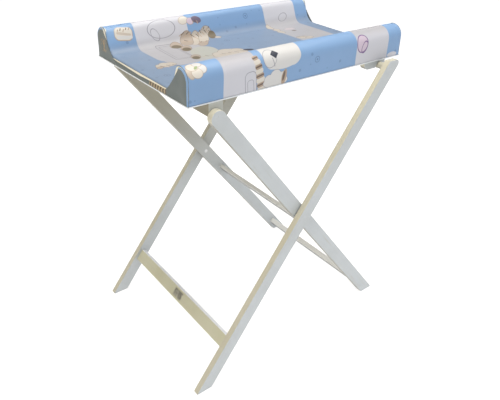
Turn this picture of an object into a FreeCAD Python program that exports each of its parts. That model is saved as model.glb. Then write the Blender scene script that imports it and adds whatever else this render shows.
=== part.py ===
import FreeCAD, Part
import math
import os
import Sketcher

# Changing table: a padded top on two frames that cross and fold.
# X runs along the padded top, Y from front to back, Z up. Lengths are in millimetres.
# The origin lies on the floor under the middle of the table.

os.makedirs("parts", exist_ok=True)
doc = FreeCAD.newDocument("changing_table")
sheet = doc.addObject("Spreadsheet::Sheet", "Sizes")
V = FreeCAD.Vector

# ---------------------------------------------------------------- sizes
SIZES = [
    ("top_length", 800, "padded top, end to end"),
    ("top_width", 500, "padded top, front to back"),
    ("underside_height", 935, "floor to the underside of the top"),
    ("side_rise", 97, "long sides, from the underside to their crown"),
    ("side_top_width", 50, "long side, width across its crown before rounding"),
    ("side_foot_width", 78, "long side, width where its inner slope meets the lying surface"),
    ("side_foam_width", 120, "foam block of a long side, at its foot"),
    ("crown_outer_radius", 34, "rounding of a long side's outer top edge"),
    ("crown_inner_radius", 18, "rounding of a long side's inner top edge"),
    ("slope_radius", 32, "hollow between a long side and the lying surface"),
    ("cover_thickness", 1.5, "printed cover"),
    ("backing_thickness", 1.0, "underside sheet of the cover"),
    ("seam_projection", 1.2, "welded seam, out from the cover"),
    ("seam_rise", 3.0, "welded seam, height"),
    ("panel_thickness", 6, "stiff base panel inside the cover"),
    ("panel_inset", 2, "base panel, back from the inside of the cover"),
    ("panel_corner", 10, "base panel, corner radius"),
    ("flat_foam_thickness", 12.5, "foam under the lying surface"),
    ("soft_gap", 0.2, "foam to what it lies against"),
    ("leg_width", 45, "leg, seen from the front"),
    ("leg_thickness", 20, "leg, front to back"),
    ("leg_edge_radius", 1.5, "rounding of a leg's long edges"),
    ("foot_reach", 415, "middle of the table to the tip of a foot"),
    ("foot_tip_radius", 3, "rounding at the tip of a foot"),
    ("foot_heel_radius", 15, "rounding at the heel of an inner foot"),
    ("outer_heel_radius", 4, "rounding at the heel of an outer foot"),
    ("board_clearance", 1, "padded top to each inner leg"),
    ("layer_gap", 2, "inner leg to outer leg"),
    ("pivot_offset", 330, "middle of the table to the board pivot"),
    ("pivot_drop", 28, "underside of the top to the board pivot"),
    ("pivot_end", 10, "board pivot to the end of the inner leg"),
    ("outer_leg_rise", 8, "outer leg's level top above the underside"),
    ("outer_top_corner", 12, "rounding at the outer leg's top tip"),
    ("outer_top_heel", 4, "rounding at the outer leg's other top corner"),
    ("top_bar_offset", 310, "middle of the table to the round crossbar"),
    ("top_bar_drop", 17, "underside of the top to the round crossbar's axis"),
    ("top_bar_radius", 11, "round crossbar"),
    ("rail_width", 44, "rail, along the top"),
    ("rail_offset", 13, "board pivot to the rail's middle, inward"),
    ("rail_height", 38, "rail, down from the underside"),
    ("rail_edge", 3, "rounding of the rail's long lower edges"),
    ("hook_before", 70, "hook block, inward of the round crossbar"),
    ("hook_after", 25, "hook block, outward of the round crossbar"),
    ("hook_height", 24, "hook block, down from the underside"),
    ("hook_thickness", 18, "hook block, front to back"),
    ("hook_inset", 5, "edge of the top to the hook block"),
    ("hook_ramp_radius", 20, "rounding of the hook block's inward lower corner"),
    ("hook_gap", 0.3, "hook to the round crossbar"),
    ("hook_lead_angle", 58, "slope of the hook's inward wall, from level"),
    ("upper_slat_start", 508, "inner foot tip to the upper crossbar, along the leg"),
    ("upper_slat_width", 40, "upper crossbar"),
    ("upper_slat_thickness", 14, "upper crossbar"),
    ("upper_slat_offset", 3, "inner legs' middle line to the upper crossbar's, upward"),
    ("lower_slat_start", 42, "inner foot tip to the lower crossbar, along the leg"),
    ("lower_slat_width", 46, "lower crossbar of the inner frame"),
    ("outer_slat_start", 157, "outer foot tip to the outer crossbar, along the leg"),
    ("outer_slat_width", 43, "lower crossbar of the outer frame"),
    ("slat_thickness", 20, "the two lower crossbars"),
    ("slat_edge_radius", 3, "rounding of the flat crossbars' long edges"),
    ("bolt_radius", 4, "pivot and crossing bolts"),
    ("running_gap", 0.05, "bolt to the bore that turns on it"),
    ("bolt_head_radius", 6, "bolt head"),
    ("bolt_head_height", 2.5, "bolt head"),
    ("head_gap", 0.15, "sunk head to its recess"),
    ("spacer_radius", 13, "washer between the crossed legs"),
    ("spacer_gap", 0.1, "washer to each face beside it"),
    ("nut_radius", 7, "round nut of a crossing bolt"),
    ("nut_height", 5, "round nut of a crossing bolt"),
    ("insert_radius", 6, "threaded insert in the rail"),
    ("insert_length", 24, "threaded insert in the rail"),
    ("thread_gap", 0.05, "screw or bolt to its pilot hole"),
    ("screw_radius", 2, "wood screws"),
    ("screw_head_radius", 4, "wood screws"),
    ("screw_head_height", 2.2, "wood screws"),
    ("leg_screw_length", 45, "screw through a leg into a crossbar"),
    ("rail_screw_length", 32, "screw through the panel into the rail"),
    ("hook_screw_length", 24, "screw through the panel into a hook block"),
    ("rail_screw_spacing", 120, "rail screws, one to the next"),
    ("hook_screw_first", 48, "round crossbar to the nearer hook screw"),
    ("hook_screw_edge", 14, "hook block's inward end to the farther hook screw"),
    ("dowel_radius", 3, "dowels beside each crossbar screw"),
    ("dowel_in_leg", 10, "dowel depth in the leg"),
    ("dowel_in_slat", 18, "dowel depth in the crossbar"),
    ("dowel_spread", 12, "dowel to the crossbar's middle line"),
    ("label_length", 46, "printed label on the outer crossbar"),
    ("label_height", 24, "printed label on the outer crossbar"),
    ("label_thickness", 0.4, "printed label on the outer crossbar"),
    ("label_place", 0, "middle of the crossbar to the label's middle"),
]

S = {}
for row, (alias, number, note) in enumerate(SIZES, start=1):
    sheet.set("A%d" % row, alias)
    sheet.set("B%d" % row, str(number))
    sheet.set("C%d" % row, note)
    sheet.setAlias("B%d" % row, alias)
    S[alias] = float(number)
doc.recompute()


# ---------------------------------------------------------------- drawing helpers
def origin_plane(body, role):
    """The body's own origin plane with this role."""
    for feature in body.Origin.OriginFeatures:
        if feature.Role == role:
            return feature
    raise RuntimeError("no plane " + role)


def rounded(corners):
    """Lines and arcs of a closed outline whose corners are (across, up, radius)."""
    count = len(corners)
    starts = []
    ends = []
    middles = []
    for i in range(count):
        here = V(corners[i][0], corners[i][1], 0)
        before = V(corners[i - 1][0], corners[i - 1][1], 0)
        after = V(corners[(i + 1) % count][0], corners[(i + 1) % count][1], 0)
        radius = corners[i][2]
        if radius <= 0:
            starts.append(here)
            ends.append(here)
            middles.append(None)
            continue
        to_before = (before - here).normalize()
        to_after = (after - here).normalize()
        half = to_before.getAngle(to_after) / 2
        reach = radius / math.tan(half)
        bisector = (to_before + to_after).normalize()
        centre = here + bisector * (radius / math.sin(half))
        starts.append(here + to_before * reach)
        ends.append(here + to_after * reach)
        middles.append(centre - bisector * radius)
    pieces = []
    for i in range(count):
        if middles[i] is not None:
            pieces.append(Part.Arc(starts[i], middles[i], ends[i]))
        following = starts[(i + 1) % count]
        if (following - ends[i]).Length > 1e-6:
            pieces.append(Part.LineSegment(ends[i], following))
    return pieces


def circle(across, up, radius):
    """One circle for a sketch."""
    return Part.Circle(V(across, up, 0), V(0, 0, 1), radius)


def sketch_on(body, role, pieces, offset=0.0):
    """A sketch on one of the body's origin planes, moved along the plane's normal."""
    sketch = body.newObject("Sketcher::SketchObject", body.Name + "_outline")
    sketch.AttachmentSupport = [(origin_plane(body, role), "")]
    sketch.MapMode = "FlatFace"
    sketch.AttachmentOffset = FreeCAD.Placement(V(0, 0, offset), FreeCAD.Rotation())
    for piece in pieces:
        sketch.addGeometry(piece, False)
    return sketch


def new_body(name):
    """An empty body with its own name and label."""
    body = doc.addObject("PartDesign::Body", name)
    body.Label = name
    return body


def padded_outline(body, role, pieces, length, back=False):
    """Pad a sketch by a length written in the sheet's terms."""
    pad = body.newObject("PartDesign::Pad", body.Name + "_pad")
    pad.Profile = sketch_on(body, role, pieces)
    pad.setExpression("Length", length)
    pad.Reversed = back
    doc.recompute()
    return pad


def eased(body, radius):
    """Round the outline's edges on both faces of a flat padded piece; drilled holes stay sharp."""
    flat = body.Tip
    before = body.Shape.Volume
    edges = []
    for number, edge in enumerate(flat.Shape.Edges, start=1):
        if edge.BoundBox.YLength < 1e-6 and not edge.isClosed():
            edges.append("Edge%d" % number)
    fillet = body.newObject("PartDesign::Fillet", body.Name + "_edges")
    fillet.Base = (flat, edges)
    fillet.setExpression("Radius", radius)
    doc.recompute()
    if body.Shape.Volume >= before:
        raise RuntimeError("edges not rounded " + body.Name)
    return fillet


def sunk(body, role, pieces, depth, offset=0.0, back=False):
    """Cut a pocket of a depth written in the sheet's terms, and prove that it removes material."""
    before = body.Shape.Volume
    pocket = body.newObject("PartDesign::Pocket", body.Name + "_pocket")
    pocket.Profile = sketch_on(body, role, pieces, offset)
    pocket.setExpression("Length", depth)
    pocket.Reversed = back
    doc.recompute()
    if body.Shape.Volume > before - 1.0:
        raise RuntimeError("pocket missed " + body.Name)
    return pocket


def turned(name, steps, place, axis):
    """A round piece: steps are (radius, from, to) along its axis, or (bore, radius, from, to)."""
    body = new_body(name)
    for index, step in enumerate(steps):
        bore = step[0] if len(step) == 4 else 0.0
        radius, low, high = step[-3:]
        revolution = body.newObject("PartDesign::Revolution", "%s_turn%d" % (name, index))
        corners = [(bore, low, 0), (radius, low, 0), (radius, high, 0), (bore, high, 0)]
        sketch = sketch_on(body, "XZ_Plane", rounded(corners))
        revolution.Profile = sketch
        revolution.ReferenceAxis = (sketch, ["V_Axis"])
        revolution.Angle = 360.0
    body.Placement = FreeCAD.Placement(place, FreeCAD.Rotation(V(0, 0, 1), axis))
    doc.recompute()
    return body


def group(name, members):
    """Identical pieces kept as separate solids in one node."""
    compound = doc.addObject("Part::Compound", name)
    compound.Label = name
    compound.Links = members
    doc.recompute()
    return compound


def cut(name, base, tool):
    """The base piece with the tool's shape taken out."""
    result = doc.addObject("Part::Cut", name)
    result.Label = name
    result.Base = base
    result.Tool = tool
    doc.recompute()
    return result


# ---------------------------------------------------------------- layout
half_length = S["top_length"] / 2
half_width = S["top_width"] / 2
underside = S["underside_height"]
inner_face = half_width + S["board_clearance"]
inner_back = inner_face + S["leg_thickness"]
outer_face = inner_back + S["layer_gap"]
outer_back = outer_face + S["leg_thickness"]
half_leg = S["leg_width"] / 2

pivot = V(-S["pivot_offset"], underside - S["pivot_drop"], 0)
top_bar = V(S["top_bar_offset"], underside - S["top_bar_drop"], 0)
inner_tip = V(S["foot_reach"], 0, 0)
outer_tip = V(-S["foot_reach"], 0, 0)


def leg_angle(tip, through):
    """Slope of a leg whose outer edge starts at the tip and whose middle line passes the point."""
    reach = through - tip
    rise = math.atan2(reach.y, abs(reach.x))
    return rise + math.asin(half_leg / reach.Length)


inner_angle = leg_angle(inner_tip, pivot)
outer_angle = leg_angle(outer_tip, top_bar)
inner_along = V(-math.cos(inner_angle), math.sin(inner_angle), 0)
outer_along = V(math.cos(outer_angle), math.sin(outer_angle), 0)
inner_across = V(-math.sin(inner_angle), -math.cos(inner_angle), 0)
outer_across = V(math.sin(outer_angle), -math.cos(outer_angle), 0)


def on_inner(distance):
    """Point on the inner leg's middle line, measured from the foot's tip."""
    return inner_tip + inner_across * half_leg + inner_along * distance


def on_outer(distance):
    """Point on the outer leg's middle line, measured from the foot's tip."""
    return outer_tip + outer_across * half_leg + outer_along * distance


between = on_outer(0) - on_inner(0)
turn = inner_along.x * outer_along.y - inner_along.y * outer_along.x
reach_to_crossing = (between.x * outer_along.y - between.y * outer_along.x) / turn
crossing = on_inner(reach_to_crossing)

panel_low = underside + S["backing_thickness"]
panel_high = panel_low + S["panel_thickness"]
lying = panel_high + S["flat_foam_thickness"] + S["cover_thickness"]
crown = underside + S["side_rise"]
cover_half_length = half_length - S["seam_projection"]
cover_half_width = half_width - S["seam_projection"]


# ---------------------------------------------------------------- padded top
def side_corners(inset, low, inner_end):
    """Front long side's outline, moved in from the cover's skin, down to a level."""
    outer = -(cover_half_width - inset)
    top = crown - inset
    floor = lying - inset
    slope_top = V(-(cover_half_width - S["side_top_width"]), crown, 0)
    slope_foot = V(-(cover_half_width - S["side_foot_width"]), lying, 0)
    slope = (slope_foot - slope_top).normalize()
    moved = slope_top + V(slope.y, -slope.x, 0) * inset
    at_top = moved + slope * ((top - moved.y) / slope.y)
    at_floor = moved + slope * ((floor - moved.y) / slope.y)
    corners = [
        (outer, low, 0),
        (outer, top, S["crown_outer_radius"] - inset),
        (at_top.x, at_top.y, S["crown_inner_radius"] - inset),
        (at_floor.x, at_floor.y, S["slope_radius"] + inset),
    ]
    if inner_end is not None:
        corners.append((inner_end, floor, 0))
        corners.append((inner_end, low, 0))
    return corners


def mirrored(corners):
    """The same corners on the other side, in the order that closes an outline."""
    return [(-across, up, radius) for across, up, radius in reversed(corners)]


def channel(name, inset, low, half):
    """Outline of the whole padded top, run along X."""
    front = side_corners(inset, low, None)
    body = new_body(name)
    body.Placement.Base = V(-half, 0, 0)
    padded_outline(body, "YZ_Plane", rounded(front + mirrored(front)), "%r mm" % (2 * half))
    return body


skin = channel("cover_skin", 0.0, panel_low, cover_half_length)
hollow_half = cover_half_length - S["cover_thickness"]
hollow = channel("cover_hollow", S["cover_thickness"], panel_low - 1, hollow_half)
pad_cover = cut("pad_cover", skin, hollow)

foam_inset = S["cover_thickness"] + S["soft_gap"]
foam_half = hollow_half - S["soft_gap"]
foam_edge = cover_half_width - S["side_foam_width"]


def foam_side(name, side):
    """Foam block that stiffens one long side."""
    corners = side_corners(foam_inset, panel_high, -foam_edge - S["soft_gap"])
    if side > 0:
        corners = mirrored(corners)
    body = new_body(name)
    body.Placement.Base = V(-foam_half, 0, 0)
    padded_outline(body, "YZ_Plane", rounded(corners), "%r mm" % (2 * foam_half))
    return body


front_side_foam = foam_side("front_side_foam", -1)
rear_side_foam = foam_side("rear_side_foam", 1)

mattress_foam = new_body("mattress_foam")
mattress_foam.Placement.Base = V(0, 0, panel_high)
flat = [(-foam_half, -foam_edge, 0), (foam_half, -foam_edge, 0)]
flat += [(foam_half, foam_edge, 0), (-foam_half, foam_edge, 0)]
padded_outline(
    mattress_foam, "XY_Plane", rounded(flat), "Sizes.flat_foam_thickness - Sizes.soft_gap"
)

rail_middle = pivot.x + S["rail_offset"]
rail_screw_places = []
for step in (-1.5, -0.5, 0.5, 1.5):
    rail_screw_places.append(V(rail_middle, step * S["rail_screw_spacing"], 0))
hook_line = half_width - S["hook_inset"] - S["hook_thickness"] / 2
hook_screw_places = []
for side in (-1, 1):
    hook_screw_places.append(V(top_bar.x - S["hook_before"] + S["hook_screw_edge"], side * hook_line, 0))
    hook_screw_places.append(V(top_bar.x - S["hook_screw_first"] + S["hook_screw_edge"], side * hook_line, 0))
board_screw_places = rail_screw_places + hook_screw_places


def box_corners(half_x, half_y, radius):
    """Corners of a level rectangle about the origin."""
    return [
        (-half_x, -half_y, radius),
        (half_x, -half_y, radius),
        (half_x, half_y, radius),
        (-half_x, half_y, radius),
    ]


def screw_holes(radius):
    """Circles at every screw that holds the rail or a hook block."""
    return [circle(place.x, place.y, radius) for place in board_screw_places]


screw_hole = S["screw_radius"] + S["thread_gap"]
head_hole = S["screw_head_radius"] + S["head_gap"]

cover_underside = new_body("cover_underside")
cover_underside.Placement.Base = V(0, 0, underside)
backing = rounded(box_corners(cover_half_length, cover_half_width, 0)) + screw_holes(screw_hole)
padded_outline(cover_underside, "XY_Plane", backing, "Sizes.backing_thickness")

welded_seam = new_body("welded_seam")
welded_seam.Placement.Base = V(0, 0, underside)
bead = rounded(box_corners(half_length, half_width, 2.0))
bead += rounded(box_corners(cover_half_length, cover_half_width, 0))
padded_outline(welded_seam, "XY_Plane", bead, "Sizes.seam_rise")

base_panel = new_body("base_panel")
base_panel.Placement.Base = V(0, 0, panel_low)
panel_half_x = hollow_half - S["panel_inset"]
panel_half_y = cover_half_width - S["cover_thickness"] - S["panel_inset"]
board_outline = rounded(box_corners(panel_half_x, panel_half_y, S["panel_corner"]))
padded_outline(base_panel, "XY_Plane", board_outline + screw_holes(screw_hole), "Sizes.panel_thickness")
sunk(
    base_panel,
    "XY_Plane",
    screw_holes(head_hole),
    "Sizes.screw_head_height + Sizes.soft_gap",
    S["panel_thickness"],
)

# ---------------------------------------------------------------- rail and hook blocks
rail_low = underside - S["rail_height"]
rail_left = rail_middle - S["rail_width"] / 2
rail_right = rail_middle + S["rail_width"] / 2
insert_bore = S["insert_radius"] + S["thread_gap"]
insert_depth = "Sizes.insert_length + Sizes.head_gap"

pivot_rail = new_body("pivot_rail")
pivot_rail.Placement.Base = V(0, half_width, 0)
rail_outline = [
    (rail_left, rail_low, S["rail_edge"]),
    (rail_right, rail_low, S["rail_edge"]),
    (rail_right, underside, 0),
    (rail_left, underside, 0),
]
padded_outline(pivot_rail, "XZ_Plane", rounded(rail_outline), "Sizes.top_width")
at_pivot = [circle(pivot.x, pivot.y, insert_bore)]
sunk(pivot_rail, "XZ_Plane", at_pivot, insert_depth, 0.0, True)
sunk(pivot_rail, "XZ_Plane", at_pivot, insert_depth, S["top_width"], False)
rail_pilot = S["rail_screw_length"] - S["panel_thickness"] - S["backing_thickness"]
pilots = [circle(place.x, place.y - half_width, screw_hole) for place in rail_screw_places]
sunk(pivot_rail, "XY_Plane", pilots, "%r mm" % rail_pilot, underside)

lead = math.radians(S["hook_lead_angle"])
notch = S["top_bar_radius"] + S["hook_gap"]
hook_low = underside - S["hook_height"]
hook_pilot = S["hook_screw_length"] - S["panel_thickness"] - S["backing_thickness"]


def hook_block(name, side):
    """Block with an open-bottomed hook that drops over the round crossbar."""
    left = top_bar.x - S["hook_before"]
    right = top_bar.x + S["hook_after"]
    touch = V(top_bar.x - notch * math.sin(lead), top_bar.y + notch * math.cos(lead), 0)
    exit_left = touch.x - (touch.y - hook_low) / math.tan(lead)
    roof = V(top_bar.x, top_bar.y + notch, 0)
    wall = V(top_bar.x + notch, top_bar.y, 0)
    halfway = (math.pi / 2 + lead + math.pi / 2) / 2
    arc_in = V(top_bar.x + notch * math.cos(halfway), top_bar.y + notch * math.sin(halfway), 0)
    quarter = math.pi / 4
    arc_out = V(top_bar.x + notch * math.cos(quarter), top_bar.y + notch * math.sin(quarter), 0)
    ramp = S["hook_ramp_radius"]
    pieces = [
        Part.LineSegment(V(left, underside, 0), V(left, hook_low + ramp, 0)),
        Part.Arc(
            V(left, hook_low + ramp, 0),
            V(left + ramp * (1 - math.cos(quarter)), hook_low + ramp * (1 - math.sin(quarter)), 0),
            V(left + ramp, hook_low, 0),
        ),
        Part.LineSegment(V(left + ramp, hook_low, 0), V(exit_left, hook_low, 0)),
        Part.LineSegment(V(exit_left, hook_low, 0), touch),
        Part.Arc(touch, arc_in, roof),
        Part.Arc(roof, arc_out, wall),
        Part.LineSegment(wall, V(wall.x, hook_low, 0)),
        Part.LineSegment(V(wall.x, hook_low, 0), V(right, hook_low, 0)),
        Part.LineSegment(V(right, hook_low, 0), V(right, underside, 0)),
        Part.LineSegment(V(right, underside, 0), V(left, underside, 0)),
    ]
    body = new_body(name)
    plane = side * hook_line + S["hook_thickness"] / 2
    body.Placement.Base = V(0, plane, 0)
    padded_outline(body, "XZ_Plane", pieces, "Sizes.hook_thickness")
    places = [place for place in hook_screw_places if place.y * side > 0]
    drill = [circle(place.x, place.y - plane, screw_hole) for place in places]
    sunk(body, "XY_Plane", drill, "%r mm" % hook_pilot, underside)
    return body


hook_block_front = hook_block("hook_block_front", -1)
hook_block_rear = hook_block("hook_block_rear", 1)


# ---------------------------------------------------------------- legs
def leg(name, side, plane, outline, through, recesses, pockets):
    """A flat leg whose outer face lies on the plane; recesses open outward, pockets inward."""
    body = new_body(name)
    body.Placement.Base = V(0, side * plane, 0)
    front = side < 0
    padded_outline(body, "XZ_Plane", rounded(outline) + through, "Sizes.leg_thickness", front)
    eased(body, "Sizes.leg_edge_radius")
    inner_plane = side * S["leg_thickness"]
    for pieces, depth in recesses:
        sunk(body, "XZ_Plane", pieces, depth, 0.0, not front)
    for pieces, depth in pockets:
        sunk(body, "XZ_Plane", pieces, depth, inner_plane, front)
    return body


def dowel_points(middle, along):
    """Places of the two dowels beside a crossbar's screw."""
    return [middle + along * S["dowel_spread"], middle - along * S["dowel_spread"]]


upper_slat = on_inner(S["upper_slat_start"] + S["upper_slat_width"] / 2)
upper_slat = upper_slat - inner_across * S["upper_slat_offset"]
lower_slat = on_inner(S["lower_slat_start"] + S["lower_slat_width"] / 2)
outer_slat = on_outer(S["outer_slat_start"] + S["outer_slat_width"] / 2)
inner_dowels = dowel_points(upper_slat, inner_along) + dowel_points(lower_slat, inner_along)
outer_dowels = dowel_points(outer_slat, outer_along)

bolt_bore = S["bolt_radius"] + S["running_gap"]
bolt_recess = S["bolt_head_radius"] + S["head_gap"]
nut_recess = S["nut_radius"] + S["head_gap"]
dowel_bore = S["dowel_radius"] + S["thread_gap"]
head_depth = "Sizes.screw_head_height + Sizes.soft_gap"
bolt_depth = "Sizes.bolt_head_height + Sizes.head_gap"
nut_depth = "Sizes.nut_height + Sizes.head_gap"
dowel_depth = "Sizes.dowel_in_leg + Sizes.soft_gap"


def circles(points, radius):
    """The same circle at several points."""
    return [circle(point.x, point.y, radius) for point in points]


inner_end = pivot + inner_along * S["pivot_end"]
round_end = half_leg - 0.01
inner_outline = [
    (inner_tip.x, 0, S["foot_tip_radius"]),
    (inner_end.x - inner_across.x * half_leg, inner_end.y - inner_across.y * half_leg, round_end),
    (inner_end.x + inner_across.x * half_leg, inner_end.y + inner_across.y * half_leg, round_end),
    (inner_tip.x - S["leg_width"] / math.sin(inner_angle), 0, S["foot_heel_radius"]),
]
inner_through = circles([pivot, crossing], bolt_bore)
inner_through += circles([upper_slat, lower_slat], screw_hole)
inner_recesses = [
    (circles([pivot], bolt_recess), bolt_depth),
    (circles([upper_slat, lower_slat], head_hole), head_depth),
]
inner_pockets = [
    (circles([crossing], nut_recess), nut_depth),
    (circles(inner_dowels, dowel_bore), dowel_depth),
]
inner_leg_front = leg(
    "inner_leg_front", -1, inner_back, inner_outline, inner_through, inner_recesses, inner_pockets
)
inner_leg_rear = leg(
    "inner_leg_rear", 1, inner_back, inner_outline, inner_through, inner_recesses, inner_pockets
)

outer_top = underside + S["outer_leg_rise"]
slant = S["leg_width"] / math.sin(outer_angle)
top_left = outer_tip.x + outer_top / math.tan(outer_angle)
outer_outline = [
    (outer_tip.x, 0, S["foot_tip_radius"]),
    (outer_tip.x + slant, 0, S["outer_heel_radius"]),
    (top_left + slant, outer_top, S["outer_top_corner"]),
    (top_left, outer_top, S["outer_top_heel"]),
]
outer_through = circles([crossing], bolt_bore) + circles([outer_slat, top_bar], screw_hole)
outer_recesses = [
    (circles([crossing], bolt_recess), bolt_depth),
    (circles([outer_slat, top_bar], head_hole), head_depth),
]
outer_pockets = [(circles(outer_dowels, dowel_bore), dowel_depth)]
outer_leg_front = leg(
    "outer_leg_front", -1, outer_back, outer_outline, outer_through, outer_recesses, outer_pockets
)
outer_leg_rear = leg(
    "outer_leg_rear", 1, outer_back, outer_outline, outer_through, outer_recesses, outer_pockets
)


# ---------------------------------------------------------------- crossbars
def crossbar(name, face, outline, middle, dowels):
    """A crossbar between two legs, drilled at both ends for its screw and dowels."""
    body = new_body(name)
    body.Placement.Base = V(0, face, 0)
    padded_outline(body, "XZ_Plane", outline, "%r mm" % (2 * face))
    pilot = "Sizes.leg_screw_length - Sizes.leg_thickness"
    socket = "Sizes.dowel_in_slat + Sizes.soft_gap"
    for offset, back in ((0.0, True), (2 * face, False)):
        sunk(body, "XZ_Plane", circles([middle], screw_hole), pilot, offset, back)
        if dowels:
            sunk(body, "XZ_Plane", circles(dowels, dowel_bore), socket, offset, back)
    return body


def slat_outline(middle, along, across, width, thickness):
    """Rounded end section of a flat crossbar that lies in its frame's plane."""
    edge = S["slat_edge_radius"]
    half = thickness / 2
    corners = []
    for a, b in ((-1, -1), (1, -1), (1, 1), (-1, 1)):
        point = middle + along * (a * width / 2) + across * (b * half)
        corners.append((point.x, point.y, edge))
    return rounded(corners)


upper_inner_crossbar = crossbar(
    "upper_inner_crossbar",
    inner_face,
    slat_outline(upper_slat, inner_along, inner_across, S["upper_slat_width"], S["upper_slat_thickness"]),
    upper_slat,
    inner_dowels[:2],
)
lower_inner_crossbar = crossbar(
    "lower_inner_crossbar",
    inner_face,
    slat_outline(lower_slat, inner_along, inner_across, S["lower_slat_width"], S["slat_thickness"]),
    lower_slat,
    inner_dowels[2:],
)
lower_outer_crossbar = crossbar(
    "lower_outer_crossbar",
    outer_face,
    slat_outline(outer_slat, outer_along, outer_across, S["outer_slat_width"], S["slat_thickness"]),
    outer_slat,
    outer_dowels,
)
top_crossbar = crossbar(
    "top_crossbar",
    outer_face,
    [circle(top_bar.x, top_bar.y, S["top_bar_radius"])],
    top_bar,
    [],
)

label_middle = outer_slat - outer_across * (S["slat_thickness"] / 2)
maker_label = new_body("maker_label")
maker_label.Placement.Base = V(0, S["label_place"] + S["label_length"] / 2, 0)
label_corners = []
for a, b in ((-1, 0), (1, 0), (1, -1), (-1, -1)):
    spot = label_middle + outer_along * (a * S["label_height"] / 2)
    spot = spot + outer_across * (b * S["label_thickness"])
    label_corners.append((spot.x, spot.y, 0))
padded_outline(maker_label, "XZ_Plane", rounded(label_corners), "Sizes.label_length")


# ---------------------------------------------------------------- fasteners
def pair(name, steps, point, plane):
    """Two turned pieces on one axis, front and rear, both measured inward from a plane."""
    members = []
    for side, word in ((-1, "front"), (1, "rear")):
        place = V(point.x, side * plane, point.y)
        members.append(turned("%s_%s" % (name, word), steps, place, V(0, -side, 0)))
    return members


pivot_head_sunk = S["head_gap"]
pivot_bolt_steps = [
    (S["bolt_head_radius"], pivot_head_sunk, pivot_head_sunk + S["bolt_head_height"]),
    (S["bolt_radius"], 0.5, S["leg_thickness"] + S["board_clearance"] + S["insert_length"] - 2),
]
pivot_bolts = group("pivot_bolts", pair("pivot_bolt", pivot_bolt_steps, pivot, inner_back))

washer_steps = [
    (bolt_bore, S["bolt_head_radius"], 0.0, S["board_clearance"] - 2 * S["spacer_gap"]),
]
pivot_washers = group(
    "pivot_washers", pair("pivot_washer", washer_steps, pivot, inner_face - S["spacer_gap"])
)

insert_steps = [(S["bolt_radius"] + S["thread_gap"], S["insert_radius"], 0.0, S["insert_length"])]
rail_inserts = group("rail_inserts", pair("rail_insert", insert_steps, pivot, half_width))

both_legs = 2 * S["leg_thickness"] + S["layer_gap"]
crossing_steps = [
    (S["bolt_head_radius"], S["head_gap"], S["head_gap"] + S["bolt_head_height"]),
    (S["bolt_radius"], 0.5, both_legs - S["head_gap"]),
]
crossing_bolts = group("crossing_bolts", pair("crossing_bolt", crossing_steps, crossing, outer_back))

spacer_steps = [(bolt_bore, S["spacer_radius"], 0.0, S["layer_gap"] - 2 * S["spacer_gap"])]
crossing_spacers = group(
    "crossing_spacers",
    pair("crossing_spacer", spacer_steps, crossing, outer_face - S["spacer_gap"]),
)

nut_steps = [(S["bolt_radius"] + S["thread_gap"], S["nut_radius"], 0.0, S["nut_height"])]
crossing_nuts = group(
    "crossing_nuts", pair("crossing_nut", nut_steps, crossing, inner_face + S["nut_height"])
)

screw_steps = [
    (S["screw_head_radius"], 0.0, S["screw_head_height"]),
    (S["screw_radius"], 0.5, S["leg_screw_length"] - S["soft_gap"]),
]
inner_screws = []
for word, point in (("upper", upper_slat), ("lower", lower_slat)):
    inner_screws += pair("inner_%s_screw" % word, screw_steps, point, inner_back)
inner_crossbar_screws = group("inner_crossbar_screws", inner_screws)

outer_screws = []
for word, point in (("slat", outer_slat), ("bar", top_bar)):
    outer_screws += pair("outer_%s_screw" % word, screw_steps, point, outer_back)
outer_crossbar_screws = group("outer_crossbar_screws", outer_screws)

dowel_steps = [(S["dowel_radius"], 0.0, S["dowel_in_leg"] + S["dowel_in_slat"])]
inner_pegs = []
for index, point in enumerate(inner_dowels):
    inner_pegs += pair("inner_dowel%d" % index, dowel_steps, point, inner_face + S["dowel_in_leg"])
inner_crossbar_dowels = group("inner_crossbar_dowels", inner_pegs)

outer_pegs = []
for index, point in enumerate(outer_dowels):
    outer_pegs += pair("outer_dowel%d" % index, dowel_steps, point, outer_face + S["dowel_in_leg"])
outer_crossbar_dowels = group("outer_crossbar_dowels", outer_pegs)


def board_screws(name, places, length):
    """Screws driven down through the base panel, heads level with its upper face."""
    steps = [
        (S["screw_head_radius"], 0.0, S["screw_head_height"]),
        (S["screw_radius"], 0.5, length - S["soft_gap"]),
    ]
    members = []
    for index, place in enumerate(places):
        at = V(place.x, place.y, panel_high)
        members.append(turned("%s_%d" % (name, index), steps, at, V(0, 0, -1)))
    return members


rail_screws = group("rail_screws", board_screws("rail_screw", rail_screw_places, S["rail_screw_length"]))
hook_screws = group("hook_screws", board_screws("hook_screw", hook_screw_places, S["hook_screw_length"]))

# ---------------------------------------------------------------- checks and files
NODES = [
    pad_cover,
    cover_underside,
    welded_seam,
    mattress_foam,
    front_side_foam,
    rear_side_foam,
    base_panel,
    pivot_rail,
    rail_inserts,
    rail_screws,
    hook_block_front,
    hook_block_rear,
    hook_screws,
    pivot_bolts,
    pivot_washers,
    inner_leg_front,
    inner_leg_rear,
    upper_inner_crossbar,
    lower_inner_crossbar,
    inner_crossbar_screws,
    inner_crossbar_dowels,
    crossing_bolts,
    crossing_spacers,
    crossing_nuts,
    outer_leg_front,
    outer_leg_rear,
    lower_outer_crossbar,
    top_crossbar,
    outer_crossbar_screws,
    outer_crossbar_dowels,
    maker_label,
]

doc.recompute()
for thing in doc.Objects:
    if "Invalid" in thing.State or "Error" in thing.State:
        raise RuntimeError("did not build: " + thing.Name)
for node in NODES:
    if node.Shape.isNull() or not node.Shape.isValid():
        raise RuntimeError("bad shape: " + node.Label)
for node in NODES:
    node.Shape.exportStep("parts/%s.step" % node.Label)
print("pieces written:", len(NODES))
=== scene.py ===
import math

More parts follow.
